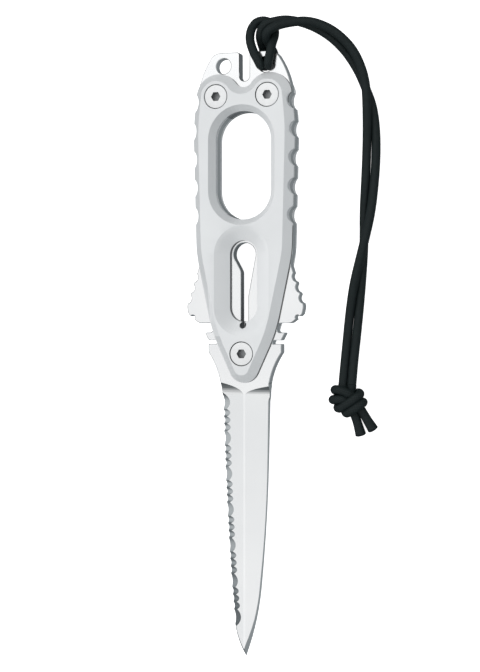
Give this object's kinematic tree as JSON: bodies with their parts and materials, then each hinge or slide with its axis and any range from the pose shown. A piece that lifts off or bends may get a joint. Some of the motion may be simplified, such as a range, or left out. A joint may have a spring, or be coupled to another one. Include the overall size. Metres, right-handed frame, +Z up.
{
  "type": "rigging knife",
  "caption": "Fixed-blade rigging knife with a part-serrated pointed blade, line-cutting hooks, shackle keyhole, skeleton handle and black cord lanyard.",
  "frame": {"origin": "on the surface that the knife lies on, under the middle of its length and width, measured without the lanyard", "axes": "+Z up out of the front scale, +Y along the knife to the pommel, -Y to the blade's point, +X to the side with the plain cutting edge"},
  "size_m": [0.0679, 0.2221, 0.0116],
  "materials": {
    "plate_steel": "satin, fine grinding lines on the blade, lightly polished flats",
    "scale_alloy": "fine bead-blasted light grey",
    "fastener_steel": "turned, fine rings, matt",
    "cord_black": "tight black braid"
  },
  "bodies": {
    "root": {"blade_tang": "plate_steel", "front_scale": "scale_alloy", "rear_scale": "scale_alloy", "screw_top_left": "fastener_steel", "screw_top_right": "fastener_steel", "screw_lower": "fastener_steel", "barrel_nut_top_left": "fastener_steel", "barrel_nut_top_right": "fastener_steel", "barrel_nut_lower": "fastener_steel", "lanyard_hitch": "cord_black", "lanyard_strand_a": "cord_black", "lanyard_strand_b": "cord_black", "lanyard_knot": "cord_black"}
  },
  "joints": []
}
